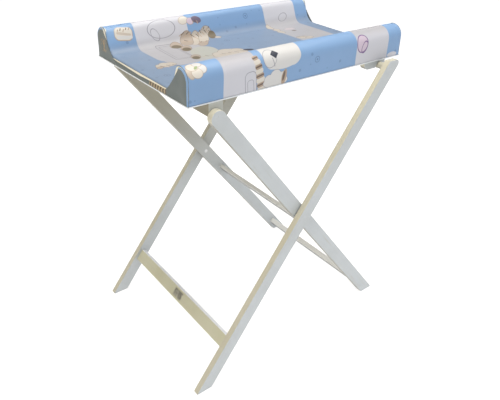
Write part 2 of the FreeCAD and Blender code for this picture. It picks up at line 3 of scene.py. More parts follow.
import bmesh
import bpy
import numpy as np
from mathutils import Matrix, Vector


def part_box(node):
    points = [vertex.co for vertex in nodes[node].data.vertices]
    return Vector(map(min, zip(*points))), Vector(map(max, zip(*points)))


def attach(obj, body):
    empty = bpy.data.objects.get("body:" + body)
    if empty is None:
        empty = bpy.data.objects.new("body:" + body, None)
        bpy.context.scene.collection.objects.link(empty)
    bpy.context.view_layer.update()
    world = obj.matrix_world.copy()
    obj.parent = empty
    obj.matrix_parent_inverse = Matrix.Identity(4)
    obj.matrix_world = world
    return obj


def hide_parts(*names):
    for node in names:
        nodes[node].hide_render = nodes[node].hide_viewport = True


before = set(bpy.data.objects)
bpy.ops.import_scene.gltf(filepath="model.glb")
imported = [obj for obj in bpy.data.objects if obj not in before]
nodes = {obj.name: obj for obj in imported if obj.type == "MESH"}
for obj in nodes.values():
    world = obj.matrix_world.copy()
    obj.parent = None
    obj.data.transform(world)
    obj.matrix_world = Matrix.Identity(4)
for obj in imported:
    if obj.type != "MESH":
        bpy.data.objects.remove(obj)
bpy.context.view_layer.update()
MM = 0.001
DECIMALS = 5
ACROSS = (0.0, 1.0, 0.0)


# ---------------------------------------------------------------- sizes
def corner_of(node, end):
    """Lowest (0) or highest (1) corner of a CAD node, to a hundredth of a millimetre."""
    return [round(value, DECIMALS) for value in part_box(node)[end]]


# from the CAD pieces: the cover's half length, half width and heights, and the legs' outer faces
HALF_LONG, HALF_WIDE, CROWN = corner_of("pad_cover", 1)
PANEL_LOW = corner_of("pad_cover", 0)[2]
COVER_OVER_FOAM = 0.0017
LYING = round(corner_of("mattress_foam", 1)[2] + COVER_OVER_FOAM, DECIMALS)
INNER_BACK = corner_of("inner_leg_rear", 1)[1]
OUTER_BACK = corner_of("outer_leg_rear", 1)[1]

# as in the part's own source: widths of a long side at its crown and foot, and its three roundings
SIDE_TOP, SIDE_FOOT = 0.050, 0.078
CROWN_OUT, CROWN_IN, HOLLOW = 0.034, 0.018, 0.032

# only here: rounding of the cover's ends, length of their close rows, depth of paint on sunk heads
END_ROUND, END_ROWS = 0.0045, 0.010
HEAD_PAINT = 0.0038


# ---------------------------------------------------------------- room, light and camera
def aim(thing, place, target, roll=0.0):
    """Puts a camera or lamp at a place, turned to look at the target and rolled about its line of sight."""
    line = Vector(target) - Vector(place)
    turn = line.to_track_quat("-Z", "Y").to_matrix().to_4x4()
    thing.matrix_world = Matrix.Translation(Vector(place)) @ turn @ Matrix.Rotation(roll, 4, "Z")


def make_camera():
    """Camera in front of the left end, above the top: azimuth and elevation in degrees about a target."""
    azimuth, elevation, roll = math.radians(-38.776), math.radians(26.3), math.radians(1.834)
    distance, target = 1.8726, Vector((-0.0126, 0.0, 0.6281))
    back = Vector((
        math.sin(azimuth) * math.cos(elevation),
        -math.cos(azimuth) * math.cos(elevation),
        math.sin(elevation),
    ))
    data = bpy.data.cameras.new("studio_camera")
    data.sensor_width = 36.0
    data.lens = 40.3092
    data.shift_x, data.shift_y = 0.00586, -0.1101
    data.clip_end = 60.0
    camera = bpy.data.objects.new("studio_camera", data)
    bpy.context.scene.collection.objects.link(camera)
    aim(camera, target + back * distance, target, roll)
    bpy.context.scene.camera = camera


def soft_lamp(name, place, target, size, power, colour):
    """Square area lamp of one size, aimed at a target."""
    data = bpy.data.lights.new(name, "AREA")
    data.shape = "SQUARE"
    data.size = size
    data.energy = power
    data.color = colour
    lamp = bpy.data.objects.new(name, data)
    bpy.context.scene.collection.objects.link(lamp)
    aim(lamp, place, target)


def make_room():
    """Plain pale floor, pale air and three soft lamps: cool from the front right, warm from the left."""
    world = bpy.data.worlds.new("studio_air")
    bpy.context.scene.world = world
    world.use_nodes = True
    air = world.node_tree.nodes["Background"]
    air.inputs["Color"].default_value = (1.0, 1.0, 1.0, 1.0)
    air.inputs["Strength"].default_value = 0.32
    floor_mesh = bpy.data.meshes.new("studio_floor")
    reach = 14.0
    corners = [(-reach, -reach, 0), (reach, -reach, 0), (reach, reach, 0), (-reach, reach, 0)]
    floor_mesh.from_pydata(corners, [], [(0, 1, 2, 3)])
    floor = bpy.data.objects.new("studio_floor", floor_mesh)
    bpy.context.scene.collection.objects.link(floor)
    paint = plain_finish("floor_paint", (0.50, 0.50, 0.50), 0.9)
    lit = paint.node_tree.nodes["Principled BSDF"]
    lit.inputs["Emission Color"].default_value = (1.0, 1.0, 1.0, 1.0)
    lit.inputs["Emission Strength"].default_value = 0.84
    floor_mesh.materials.append(paint)
    middle = (0.0, 0.0, 0.6)
    soft_lamp("front_right_lamp", (2.2, -3.6, 2.6), middle, 2.4, 8.0, (0.80, 0.92, 1.0))
    soft_lamp("overhead_lamp", (0.4, -0.3, 4.0), middle, 3.0, 130.0, (1.0, 0.98, 0.95))
    soft_lamp("left_lamp", (-2.6, -0.3, 3.2), middle, 2.2, 34.0, (1.0, 0.86, 0.60))
    bpy.context.scene.view_settings.view_transform = "Standard"


# ---------------------------------------------------------------- finishes
# Paint tones by facing are partly painted light: the wide faces take a cool tint and the narrow faces the
# warm or olive edge tints, standing in for cool light from the front and warm light from the left
COOL_WHITE = (0.565, 0.60, 0.625)
COOL_SHADE = (0.53, 0.56, 0.575)
# Edge sets of lit, patchy and downward tones; the grey set is lightened to offset the shade of the padded
# top, and each downward tone is painted shade
WARM_EDGES = ((0.60, 0.575, 0.47), (0.56, 0.53, 0.41), (0.23, 0.22, 0.18))
GREY_EDGES = ((0.74, 0.745, 0.73), (0.70, 0.70, 0.67), (0.215, 0.21, 0.20))
OLIVE_EDGES = ((0.62, 0.61, 0.465), (0.58, 0.565, 0.41), (0.23, 0.22, 0.18))
# painted highlight along a lit upper edge
PAINTED_HIGHLIGHT_WHITE = (0.86, 0.88, 0.93)
# painted shade for the top of the rear legs, under the padded top
TOP_SHADE = (0.335, 0.32, 0.26)


def new_finish(name):
    """A new material, with its node tree and its shader."""
    finish = bpy.data.materials.new(name)
    finish.use_nodes = True
    return finish, finish.node_tree, finish.node_tree.nodes["Principled BSDF"]


def plain_finish(name, colour, rough):
    """One colour broken up by a faint large noise, for the floor and hidden pieces."""
    finish, tree, shader = new_finish(name)
    place = tree.nodes.new("ShaderNodeTexCoord")
    noise = tree.nodes.new("ShaderNodeTexNoise")
    noise.inputs["Scale"].default_value = 3.0
    tree.links.new(place.outputs["Object"], noise.inputs["Vector"])
    tint = tree.nodes.new("ShaderNodeMix")
    tint.data_type = "RGBA"
    tint.inputs["A"].default_value = (*colour, 1.0)
    tint.inputs["B"].default_value = (*[c * 0.97 for c in colour], 1.0)
    tree.links.new(noise.outputs["Fac"], tint.inputs["Factor"])
    tree.links.new(tint.outputs["Result"], shader.inputs["Base Color"])
    shader.inputs["Roughness"].default_value = rough
    return finish


def math_step(tree, operation, a, b=None, c=None):
    """One sum on numbers or sockets, giving its result's socket."""
    node = tree.nodes.new("ShaderNodeMath")
    node.operation = operation
    for slot, value in enumerate((a, b, c)):
        if value is None:
            continue
        if isinstance(value, (int, float)):
            node.inputs[slot].default_value = value
        else:
            tree.links.new(value, node.inputs[slot])
    return node.outputs[0]


def vector_step(tree, operation, a, b=None):
    """One sum on vectors, giving the vector or, for a length or a dot product, the number."""
    node = tree.nodes.new("ShaderNodeVectorMath")
    node.operation = operation
    for slot, value in enumerate((a, b)):
        if value is None:
            continue
        if isinstance(value, tuple):
            node.inputs[slot].default_value = value
        else:
            tree.links.new(value, node.inputs[slot])
    return node.outputs["Value"] if operation in ("LENGTH", "DOT_PRODUCT") else node.outputs["Vector"]


def ramp_step(tree, value, low, high):
    """Smooth rise from 0 at low to 1 at high."""
    node = tree.nodes.new("ShaderNodeMapRange")
    node.interpolation_type = "SMOOTHSTEP"
    node.inputs["From Min"].default_value = low
    node.inputs["From Max"].default_value = high
    tree.links.new(value, node.inputs["Value"])
    return node.outputs["Result"]


def colour_step(tree, share, below, above):
    """Lays one colour over another where the share is 1."""
    node = tree.nodes.new("ShaderNodeMix")
    node.data_type = "RGBA"
    for socket, value in (("Factor", share), ("A", below), ("B", above)):
        if isinstance(value, tuple):
            node.inputs[socket].default_value = (*value, 1.0)
        elif isinstance(value, (int, float)):
            node.inputs[socket].default_value = value
        else:
            tree.links.new(value, node.inputs[socket])
    return node.outputs["Result"]


def bump_step(tree, shader, height, strength, distance):
    """Lets a height map tilt the surface."""
    node = tree.nodes.new("ShaderNodeBump")
    node.inputs["Strength"].default_value = strength
    node.inputs["Distance"].default_value = distance
    tree.links.new(height, node.inputs["Height"])
    tree.links.new(node.outputs["Normal"], shader.inputs["Normal"])


def noise_step(tree, vector, scale, detail=3.0, rough=0.55):
    """Soft noise from 0 to 1 at one scale."""
    node = tree.nodes.new("ShaderNodeTexNoise")
    node.inputs["Scale"].default_value = scale
    node.inputs["Detail"].default_value = detail
    node.inputs["Roughness"].default_value = rough
    tree.links.new(vector, node.inputs["Vector"])
    return node.outputs["Fac"]


def painted_wood(name, slope, edges=WARM_EDGES, shaded_top=False, highlight_towards=None):
    """White paint on wood with painted light by facing: cool wide faces, tinted edges, shade underneath.

    The grain runs along X turned about Y by the slope, or along Y if it is None. The edges are given as
    their lit, patchy and downward tones; the downward tone is painted shade on faces that point down.
    The top flag adds painted shade towards the top end, where the padded top shades it. The last
    argument is the direction of an upper edge that gets a painted highlight.
    """
    edge_lit_tone, shaded, downward_shade = edges
    finish, tree, shader = new_finish(name)
    spot = tree.nodes.new("ShaderNodeTexCoord")
    place = spot.outputs["Object"]
    turn = tree.nodes.new("ShaderNodeMapping")
    turn.vector_type = "TEXTURE"
    if slope is None:
        turn.inputs["Rotation"].default_value = (0.0, 0.0, math.radians(90.0))
    else:
        turn.inputs["Rotation"].default_value = (0.0, -math.radians(slope), 0.0)
    tree.links.new(place, turn.inputs["Vector"])
    along = vector_step(tree, "MULTIPLY", turn.outputs["Vector"], (6.0, 120.0, 120.0))
    grain = noise_step(tree, along, 1.0, 5.0, 0.6)
    patch = noise_step(tree, place, 9.0, 3.0)
    fine = noise_step(tree, place, 900.0, 2.0)
    # painted light: the wide faces get the cool tint, the narrow faces the edge tint
    facing = math_step(tree, "ABSOLUTE", vector_step(tree, "DOT_PRODUCT", spot.outputs["Normal"], ACROSS))
    wide = ramp_step(tree, facing, 0.45, 0.90)
    bright = colour_step(tree, wide, edge_lit_tone, COOL_WHITE)
    dull = colour_step(tree, wide, shaded, COOL_SHADE)
    paint = colour_step(tree, ramp_step(tree, patch, 0.35, 0.75), bright, dull)
    # painted shade: faces that point down take the darker downward tone
    downward = vector_step(tree, "DOT_PRODUCT", spot.outputs["Normal"], (0.0, 0.0, -1.0))
    paint = colour_step(tree, ramp_step(tree, downward, 0.25, 0.60), paint, downward_shade)
    paint = colour_step(tree, ramp_step(tree, grain, 0.58, 0.80), paint, (0.50, 0.50, 0.45))
    # painted shade: the paint darkens towards the top end, where the padded top shades the rear legs
    if shaded_top:
        high = vector_step(tree, "DOT_PRODUCT", place, (0.0, 0.0, 1.0))
        paint = colour_step(tree, ramp_step(tree, high, 0.30, 0.78), paint, TOP_SHADE)
    # painted highlight: faces turned towards the given direction are lightened, like the lit rounding of an
    # upper edge
    if highlight_towards is not None:
        upper = vector_step(tree, "DOT_PRODUCT", spot.outputs["Normal"], highlight_towards)
        paint = colour_step(tree, ramp_step(tree, upper, 0.12, 0.40), paint, PAINTED_HIGHLIGHT_WHITE)
    tree.links.new(paint, shader.inputs["Base Color"])
    gloss = math_step(tree, "MULTIPLY_ADD", grain, 0.22, 0.30)
    tree.links.new(gloss, shader.inputs["Roughness"])
    height = math_step(tree, "MULTIPLY_ADD", fine, 0.12, grain)
    bump_step(tree, shader, height, 0.35, 0.0006)
    return finish


def primer_and_shaded_wood():
    """Grey-white primer on the end grain; the sides are dark streaked brown, both bare wood and painted
    shade from the padded top.
    """
    finish, tree, shader = new_finish("primed_rail_and_shade")
    spot = tree.nodes.new("ShaderNodeTexCoord")
    place = spot.outputs["Object"]
    streak = noise_step(tree, vector_step(tree, "MULTIPLY", place, (160.0, 7.0, 160.0)), 1.0, 4.0)
    facing = math_step(tree, "ABSOLUTE", vector_step(tree, "DOT_PRODUCT", spot.outputs["Normal"], ACROSS))
    # the sides are dark brown: bare wood with painted shade from the padded top over it
    side = colour_step(tree, streak, (0.20, 0.18, 0.12), (0.32, 0.29, 0.21))
    end = colour_step(tree, streak, (0.46, 0.48, 0.45), (0.54, 0.55, 0.52))
    primer = colour_step(tree, ramp_step(tree, facing, 0.4, 0.8), side, end)
    tree.links.new(primer, shader.inputs["Base Color"])
    shader.inputs["Roughness"].default_value = 0.55
    bump_step(tree, shader, streak, 0.3, 0.0008)
    return finish


def bare_wood():
    """Pale beech with streaks along the dowel."""
    finish, tree, shader = new_finish("bare_beech")
    place = tree.nodes.new("ShaderNodeTexCoord").outputs["Object"]
    streak = noise_step(tree, vector_step(tree, "MULTIPLY", place, (400.0, 18.0, 400.0)), 1.0, 4.0)
    beech = colour_step(tree, streak, (0.62, 0.43, 0.24), (0.78, 0.60, 0.38))
    tree.links.new(beech, shader.inputs["Base Color"])
    shader.inputs["Roughness"].default_value = 0.6
    return finish


def zinc_steel(name, painted_beyond):
    """Zinc-plated steel with a faint cloudy spangle, painted over where |Y| is beyond a distance."""
    finish, tree, shader = new_finish(name)
    place = tree.nodes.new("ShaderNodeTexCoord").outputs["Object"]
    cloud = noise_step(tree, place, 160.0, 4.0)
    zinc = colour_step(tree, cloud, (0.52, 0.53, 0.55), (0.72, 0.72, 0.72))
    over = math_step(tree, "ABSOLUTE", vector_step(tree, "DOT_PRODUCT", place, ACROSS))
    paint = math_step(tree, "GREATER_THAN", over, painted_beyond)
    tree.links.new(colour_step(tree, paint, zinc, COOL_WHITE), shader.inputs["Base Color"])
    tree.links.new(math_step(tree, "SUBTRACT", 1.0, paint), shader.inputs["Metallic"])
    rough = math_step(tree, "MULTIPLY_ADD", cloud, 0.25, 0.26)
    tree.links.new(rough, shader.inputs["Roughness"])
    return finish


def backing_vinyl(name, colour, rough):
    """Coated sheet with a fine pressed grain."""
    finish, tree, shader = new_finish(name)
    place = tree.nodes.new("ShaderNodeTexCoord").outputs["Object"]
    cells = tree.nodes.new("ShaderNodeTexVoronoi")
    cells.inputs["Scale"].default_value = 700.0
    tree.links.new(place, cells.inputs["Vector"])
    cloud = noise_step(tree, place, 14.0)
    darker = tuple(c * 0.93 for c in colour)
    tree.links.new(colour_step(tree, cloud, colour, darker), shader.inputs["Base Color"])
    shader.inputs["Roughness"].default_value = rough
    bump_step(tree, shader, cells.outputs["Distance"], 0.25, 0.0003)
    return finish


def stamped_label():
    """Pale film with three short rows of dark smudged bars, no letters."""
    finish, tree, shader = new_finish("stamped_label")
    place = tree.nodes.new("ShaderNodeTexCoord").outputs["Object"]
    row = vector_step(tree, "DOT_PRODUCT", place, (0.6, 0.0, 0.8))
    band = math_step(tree, "SINE", math_step(tree, "MULTIPLY", row, 2 * math.pi / 0.0056))
    smudge = noise_step(tree, vector_step(tree, "MULTIPLY", place, (120.0, 230.0, 120.0)), 1.0, 1.0)
    rows = ramp_step(tree, band, -0.75, -0.35)
    ink = math_step(tree, "MULTIPLY", rows, ramp_step(tree, smudge, 0.42, 0.47))
    film = colour_step(tree, ink, (0.52, 0.50, 0.40), (0.025, 0.027, 0.03))
    tree.links.new(film, shader.inputs["Base Color"])
    shader.inputs["Roughness"].default_value = 0.5
    return finish


# ---------------------------------------------------------------- printed cover
BLUE = (0.235, 0.39, 0.64)
DEEP_BLUE = (0.12, 0.215, 0.39)
LILAC_WHITE = (0.59, 0.595, 0.65)
# painted shade for the white along the crown of the front side
CROWN_SHADE_WHITE = (0.43, 0.425, 0.455)
PALE = (0.63, 0.625, 0.62)
CREAM = (0.66, 0.62, 0.56)
TAN = (0.42, 0.32, 0.24)
BROWN = (0.15, 0.11, 0.09)
SLATE = (0.035, 0.04, 0.06)
LINE_GREY = (0.24, 0.24, 0.30)
BALL_PINK = (0.60, 0.50, 0.60)
BALL_PURPLE = (0.18, 0.10, 0.26)
LEAF = (0.30, 0.37, 0.18)
SAND = (0.54, 0.47, 0.40)
CLAY = (0.405, 0.41, 0.375)
OAT = (0.47, 0.43, 0.38)
DUNE = (0.37, 0.31, 0.26)
UMBER = (0.20, 0.155, 0.12)
OLIVE = (0.15, 0.12, 0.075)
OUTLINE = 2.4
# painted shade for the lying surface between the side rolls
LYING_SHADE = (0.17, 0.165, 0.165)


class Print:
    """Lays flat shapes over a ground colour. Places are across (X) and along the unrolled width, in mm."""

    def __init__(self, tree, unroll, ground):
        self.tree = tree
        self.unroll = unroll
        self.colour = ground

    def local(self, across, along, turn):
        """Place measured from a shape's middle, turned by its angle."""
        moved = vector_step(self.tree, "SUBTRACT", self.unroll, (across * MM, along * MM, 0.0))
        if turn == 0.0:
            return moved
        node = self.tree.nodes.new("ShaderNodeVectorRotate")
        node.rotation_type = "Z_AXIS"
        node.inputs["Angle"].default_value = -math.radians(turn)
        self.tree.links.new(moved, node.inputs["Vector"])
        return node.outputs["Vector"]

    def lay(self, distance, colour, outline=0.0):
        """Lays a colour where the distance is below zero, or in a line of one width about zero."""
        if outline:
            size = math_step(self.tree, "ABSOLUTE", distance)
            distance = math_step(self.tree, "SUBTRACT", size, outline * MM / 2)
        share = ramp_step(self.tree, distance, 0.0005, -0.0005)
        self.colour = colour_step(self.tree, share, self.colour, colour)

    def block(self, across, along, wide, tall, corner, colour, turn=0.0, outline=0.0):
        """Rounded rectangle: length of the part of |place| beyond the inner rectangle, less the corner."""
        spot = vector_step(self.tree, "ABSOLUTE", self.local(across, along, turn))
        inner = ((wide / 2 - corner) * MM, (tall / 2 - corner) * MM, 0.0)
        beyond = vector_step(self.tree, "SUBTRACT", spot, inner)
        beyond = vector_step(self.tree, "MAXIMUM", beyond, (0.0, 0.0, 0.0))
        distance = math_step(self.tree, "SUBTRACT", vector_step(self.tree, "LENGTH", beyond), corner * MM)
        self.lay(distance, colour, outline)

    def oval(self, across, along, wide, tall, colour, turn=0.0, outline=0.0):
        """Oval: (length of the place divided by the two radii, less one) times the smaller radius."""
        spot = self.local(across, along, turn)
        scaled = vector_step(self.tree, "MULTIPLY", spot, (2000.0 / wide, 2000.0 / tall, 0.0))
        size = math_step(self.tree, "SUBTRACT", vector_step(self.tree, "LENGTH", scaled), 1.0)
        distance = math_step(self.tree, "MULTIPLY", size, min(wide, tall) * MM / 2)
        self.lay(distance, colour, outline)

    def cloud(self, across, along, wide, colour, line):
        """Cloud: one long low oval with three round ones on it, and a line round them laid first."""
        parts = [
            (0, 0, 1.0, 0.40),
            (-0.28, 0.10, 0.36, 0.34),
            (0.0, 0.18, 0.46, 0.44),
            (0.27, 0.12, 0.38, 0.34),
        ]
        for grow, shade in ((OUTLINE, line), (0.0, colour)):
            for dx, dy, w, t in parts:
                self.oval(across + dx * wide, along + dy * wide, w * wide + grow, t * wide + grow, shade)

    def ring_stack(self, across, along, count, wide, step, turn):
        """Stacking rings: rounded bars, cream and tan in turn, each a little narrower than the one below."""
        c, s = math.cos(math.radians(turn)), math.sin(math.radians(turn))
        for index in range(count):
            lift = index * step
            width = wide * (1.0 - 0.055 * index)
            spot = (across - s * lift, along + c * lift)
            self.block(*spot, width, step + 1, step * 0.45, TAN if index % 2 else CREAM, turn)
            if index % 2:
                self.block(*spot, width - 1, step * 0.36, step * 0.16, BROWN, turn)

    def dots(self, scale, size, often, strength):
        """Small round dots, one in some of the cells of a scattered lattice."""
        cells = self.tree.nodes.new("ShaderNodeTexVoronoi")
        cells.voronoi_dimensions = "2D"
        cells.inputs["Scale"].default_value = scale
        self.tree.links.new(self.unroll, cells.inputs["Vector"])
        near = ramp_step(self.tree, cells.outputs["Distance"], size + 0.01, size - 0.01)
        chance = vector_step(self.tree, "DOT_PRODUCT", cells.outputs["Color"], (1.0, 0.0, 0.0))
        seldom = ramp_step(self.tree, chance, often + 0.01, often - 0.01)
        share = math_step(self.tree, "MULTIPLY", math_step(self.tree, "MULTIPLY", near, seldom), strength)
        self.colour = colour_step(self.tree, share, self.colour, DEEP_BLUE)

    def pebble(self, across, along, wide, tall, turn, fill, line):
        """Oval with a thin line round it."""
        self.oval(across, along, wide + OUTLINE, tall + OUTLINE, line, turn)
        self.oval(across, along, wide, tall, fill, turn)

    def strokes(self, across, along, count, size, step, turn):
        """Row of short crayon strokes side by side, tan and brown in turn."""
        for index in range(count):
            spot = (across + index * step, along + 0.2 * size * math.sin(index * 2.3))
            self.block(*spot, 2.6, size * (0.6 + 0.1 * (index % 3)), 1.2, BROWN if index % 2 else TAN, turn)


def lay_dots(art):
    """Small scattered dots, and four larger ones with a ring round each."""
    art.dots(17.0, 0.078, 0.46, 0.55)
    art.dots(29.0, 0.075, 0.25, 0.40)
    for across, along in ((30, 50), (-20, 486), (112, 590), (-352, 300)):
        art.oval(across, along, 17, 17, DEEP_BLUE, outline=1.8)
        art.oval(across, along, 6, 6, DEEP_BLUE)


def lay_panels(art, run, total):
    """Wide white panels, with painted shade darkening them along the crown of the front side."""
    tree = art.tree
    seam_to_crown = 0.126
    # painted shade: the white panels darken along the crown of the front side, taking down the light on its
    # top
    crown = math_step(tree, "ABSOLUTE", math_step(tree, "SUBTRACT", run, seam_to_crown))
    white = colour_step(tree, ramp_step(tree, crown, 0.052, 0.020), LILAC_WHITE, CROWN_SHADE_WHITE)
    art.block(-240, 130, 106, 420, 26, white)
    art.block(-214, 590, 184, 400, 44, LILAC_WHITE)
    art.block(-222, 440, 150, 190, 50, LILAC_WHITE)
    art.block(264, total / 2, 144, total + 60, 20, white)
    art.block(-97, 106, 130, 112, 30, PALE)
    art.oval(-98, 66, 112, 40, PALE)
    art.block(-122, 330, 170, 160, 46, PALE)
    art.oval(362, 8, 46, 18, LILAC_WHITE)


def lay_drawings(art):
    """Thin line drawings on the white panels."""
    art.block(-206, 24, 36, 66, 14, LINE_GREY, turn=4, outline=1.5)
    art.block(-206, 16, 20, 38, 8, LINE_GREY, turn=4, outline=1.2)
    art.block(-228, 468, 58, 140, 4, LINE_GREY, turn=-3, outline=2.0)
    art.block(-226, 468, 44, 126, 3, LINE_GREY, turn=-3, outline=1.3)
    art.oval(-215, 590, 96, 56, LINE_GREY, outline=1.3)
    art.oval(-240, 575, 24, 40, LINE_GREY, turn=24, outline=1.2)
    art.oval(274, 566, 40, 26, LINE_GREY, turn=20, outline=1.4)
    art.oval(-140, 84, 44, 56, LINE_GREY, turn=-14, outline=1.2)


def shade_lying_surface(art, run, total):
    """Painted shade: makes the lying surface darker and greyer than the long sides, as shade between the
    side rolls.
    """
    tree = art.tree
    reach = math_step(tree, "ABSOLUTE", math_step(tree, "SUBTRACT", run, total * MM / 2))
    # painted shade, broken up a little by noise, strongest in the middle of the lying surface
    lying_shade = math_step(tree, "MULTIPLY_ADD", noise_step(tree, art.unroll, 22.0, 4.0), 0.12, 0.44)
    lying_shade = math_step(tree, "MULTIPLY", lying_shade, ramp_step(tree, reach, 0.202, 0.165))
    art.colour = colour_step(tree, lying_shade, art.colour, LYING_SHADE)


def lay_cushions(art):
    """Heap of soft cushions on the rear slope, leaning to the right."""
    art.oval(-150, 420, 86, 118, CLAY, turn=-34)
    for across, along, wide, tall, turn, fill in (
        (-98, 508, 34, 78, -34, DUNE), (-56, 562, 34, 32, -10, OAT), (-78, 540, 40, 56, -30, OAT),
        (-114, 532, 30, 82, -29, OAT), (-140, 538, 42, 74, -27, DUNE),
    ):
        art.pebble(across, along, wide, tall, turn, fill, UMBER)
    for across, along, count, size, turn in (
        (-154, 562, 5, 22, -60), (-120, 550, 5, 24, 40), (-108, 512, 5, 22, -50), (-88, 560, 6, 18, 24),
        (-150, 536, 3, 20, 60), (-72, 570, 4, 14, -40),
    ):
        art.strokes(across, along, count, size, 9, turn)
    art.pebble(-40, 544, 26, 32, -26, OLIVE, UMBER)
    art.pebble(-24, 530, 22, 12, -10, OAT, BROWN)


def lay_stones(art):
    """Flat stones beside the drawn sheets, and a cloud with its crayon marks."""
    for across, along, wide, tall in ((-190, 518, 38, 52), (-177, 480, 32, 56), (-199, 394, 28, 44)):
        art.pebble(across, along, wide, tall, -32, DUNE, UMBER)
        art.oval(across - 4, along - 8, wide * 0.84, tall * 0.66, OLIVE, turn=-32)
    art.strokes(-178, 382, 5, 18, 12, 30)
    art.cloud(-92, 366, 120, OAT, UMBER)
    art.strokes(-124, 372, 8, 18, 11, 34)
    art.pebble(-24, 368, 32, 16, -20, SLATE, UMBER)


def lay_rings(art):
    """Leaning stack of rings on the front side, and beside it a cloud with a brown pod."""
    art.ring_stack(-168, 3, 8, 32, 13, 12)
    art.cloud(-122, 14, 84, PALE, LINE_GREY)
    art.oval(-92, 22, 17, 46, TAN, turn=-12)
    art.oval(-93, 25, 8, 30, BROWN, turn=-12)


def lay_puffs(art):
    """Round puffs with a leaf, at the left end of the front side."""
    for across, along, wide, tall, turn, fill in (
        (-350, 96, 26, 30, 20, PALE), (-384, 88, 20, 34, 8, SAND), (-366, 84, 30, 26, -10, CREAM),
        (-372, 106, 34, 28, 10, CREAM), (-356, 112, 24, 18, -20, PALE),
    ):
        art.pebble(across, along, wide, tall, turn, fill, TAN)
    art.oval(-364, 100, 15, 8, LEAF, turn=40)


def lay_oblong(art):
    """Oblong block with two bands and a few strokes, at the left end of the rear side."""
    art.block(-342, 592, 58, 40, 15, TAN, turn=-8)
    art.block(-342, 593, 55, 37, 14, CREAM, turn=-8)
    art.block(-341, 592, 46, 7, 3, SAND, turn=-14)
    art.block(-340, 582, 50, 9, 4, PALE, turn=-6)
    art.strokes(-358, 604, 5, 12, 9, -30)


def lay_left_cloud(art):
    """Cloud with crayon marks and a pebble, at the left end of the lying surface."""
    art.cloud(-312, 372, 64, OAT, UMBER)
    art.strokes(-334, 366, 6, 24, 9, 24)
    art.pebble(-336, 364, 22, 14, 20, DUNE, UMBER)


def lay_right_pebbles(art):
    """Pebbles, crayon strokes and a cloud on the right panel."""
    for across, along, wide, tall, turn in (
        (196, 530, 20, 34, 10), (202, 498, 24, 26, -12), (198, 470, 20, 30, 16),
        (212, 384, 34, 22, -20), (238, 372, 30, 18, 8),
    ):
        art.pebble(across, along, wide, tall, turn, OAT, UMBER)
    art.oval(250, 462, 18, 10, BROWN, turn=-20)
    art.strokes(200, 390, 5, 16, 9, 20)
    art.cloud(250, 484, 46, (0.47, 0.43, 0.45), LINE_GREY)


def lay_kite_and_balloons(art):
    """Kite with its tail on the front side, and three balloons with strokes on the rear side."""
    art.block(-122, 92, 20, 20, 2, SLATE, turn=45)
    art.block(-130, 70, 1.8, 26, 0.8, LINE_GREY, turn=14)
    art.pebble(-132, 606, 34, 24, 10, CREAM, TAN)
    art.pebble(-108, 600, 24, 20, -10, BALL_PINK, TAN)
    art.oval(-84, 602, 36, 22, (0.16, 0.13, 0.19), turn=-20)
    art.strokes(-98, 596, 3, 14, 8, 10)


def lay_ball(art):
    """Ball with a rim line and an oval band."""
    art.oval(217, 66, 46, 54, BALL_PINK)
    art.oval(217, 66, 46, 54, BALL_PURPLE, outline=2.8)
    art.oval(227, 54, 22, 36, BALL_PURPLE, turn=-24, outline=2.2)


def printed_vinyl(total):
    """Nursery print on smooth vinyl: white panels on sky blue, plain toys, clouds, dots and a ball."""
    finish, tree, shader = new_finish("printed_vinyl")
    uv = tree.nodes.new("ShaderNodeUVMap")
    uv.uv_map = "unroll"
    unroll = uv.outputs["UV"]
    place = tree.nodes.new("ShaderNodeTexCoord").outputs["Object"]
    shade = noise_step(tree, unroll, 7.0, 2.0)
    ground = colour_step(tree, shade, BLUE, tuple(c * 0.88 for c in BLUE))
    art = Print(tree, unroll, ground)
    run = vector_step(tree, "DOT_PRODUCT", unroll, ACROSS)

    lay_dots(art)
    lay_panels(art, run, total)
    lay_drawings(art)
    # painted shade on the lying surface
    shade_lying_surface(art, run, total)
    lay_cushions(art)
    lay_stones(art)
    lay_rings(art)
    lay_puffs(art)
    lay_oblong(art)
    lay_left_cloud(art)
    lay_right_pebbles(art)
    lay_kite_and_balloons(art)
    lay_ball(art)

    tree.links.new(art.colour, shader.inputs["Base Color"])
    grain = noise_step(tree, place, 1100.0, 2.0)
    ripple = noise_step(tree, place, 26.0, 2.0)
    shader.inputs["Roughness"].default_value = 0.42
    shader.inputs["Specular IOR Level"].default_value = 0.42
    height = math_step(tree, "MULTIPLY_ADD", grain, 0.05, ripple)
    bump_step(tree, shader, height, 0.18, 0.0016)
    return finish


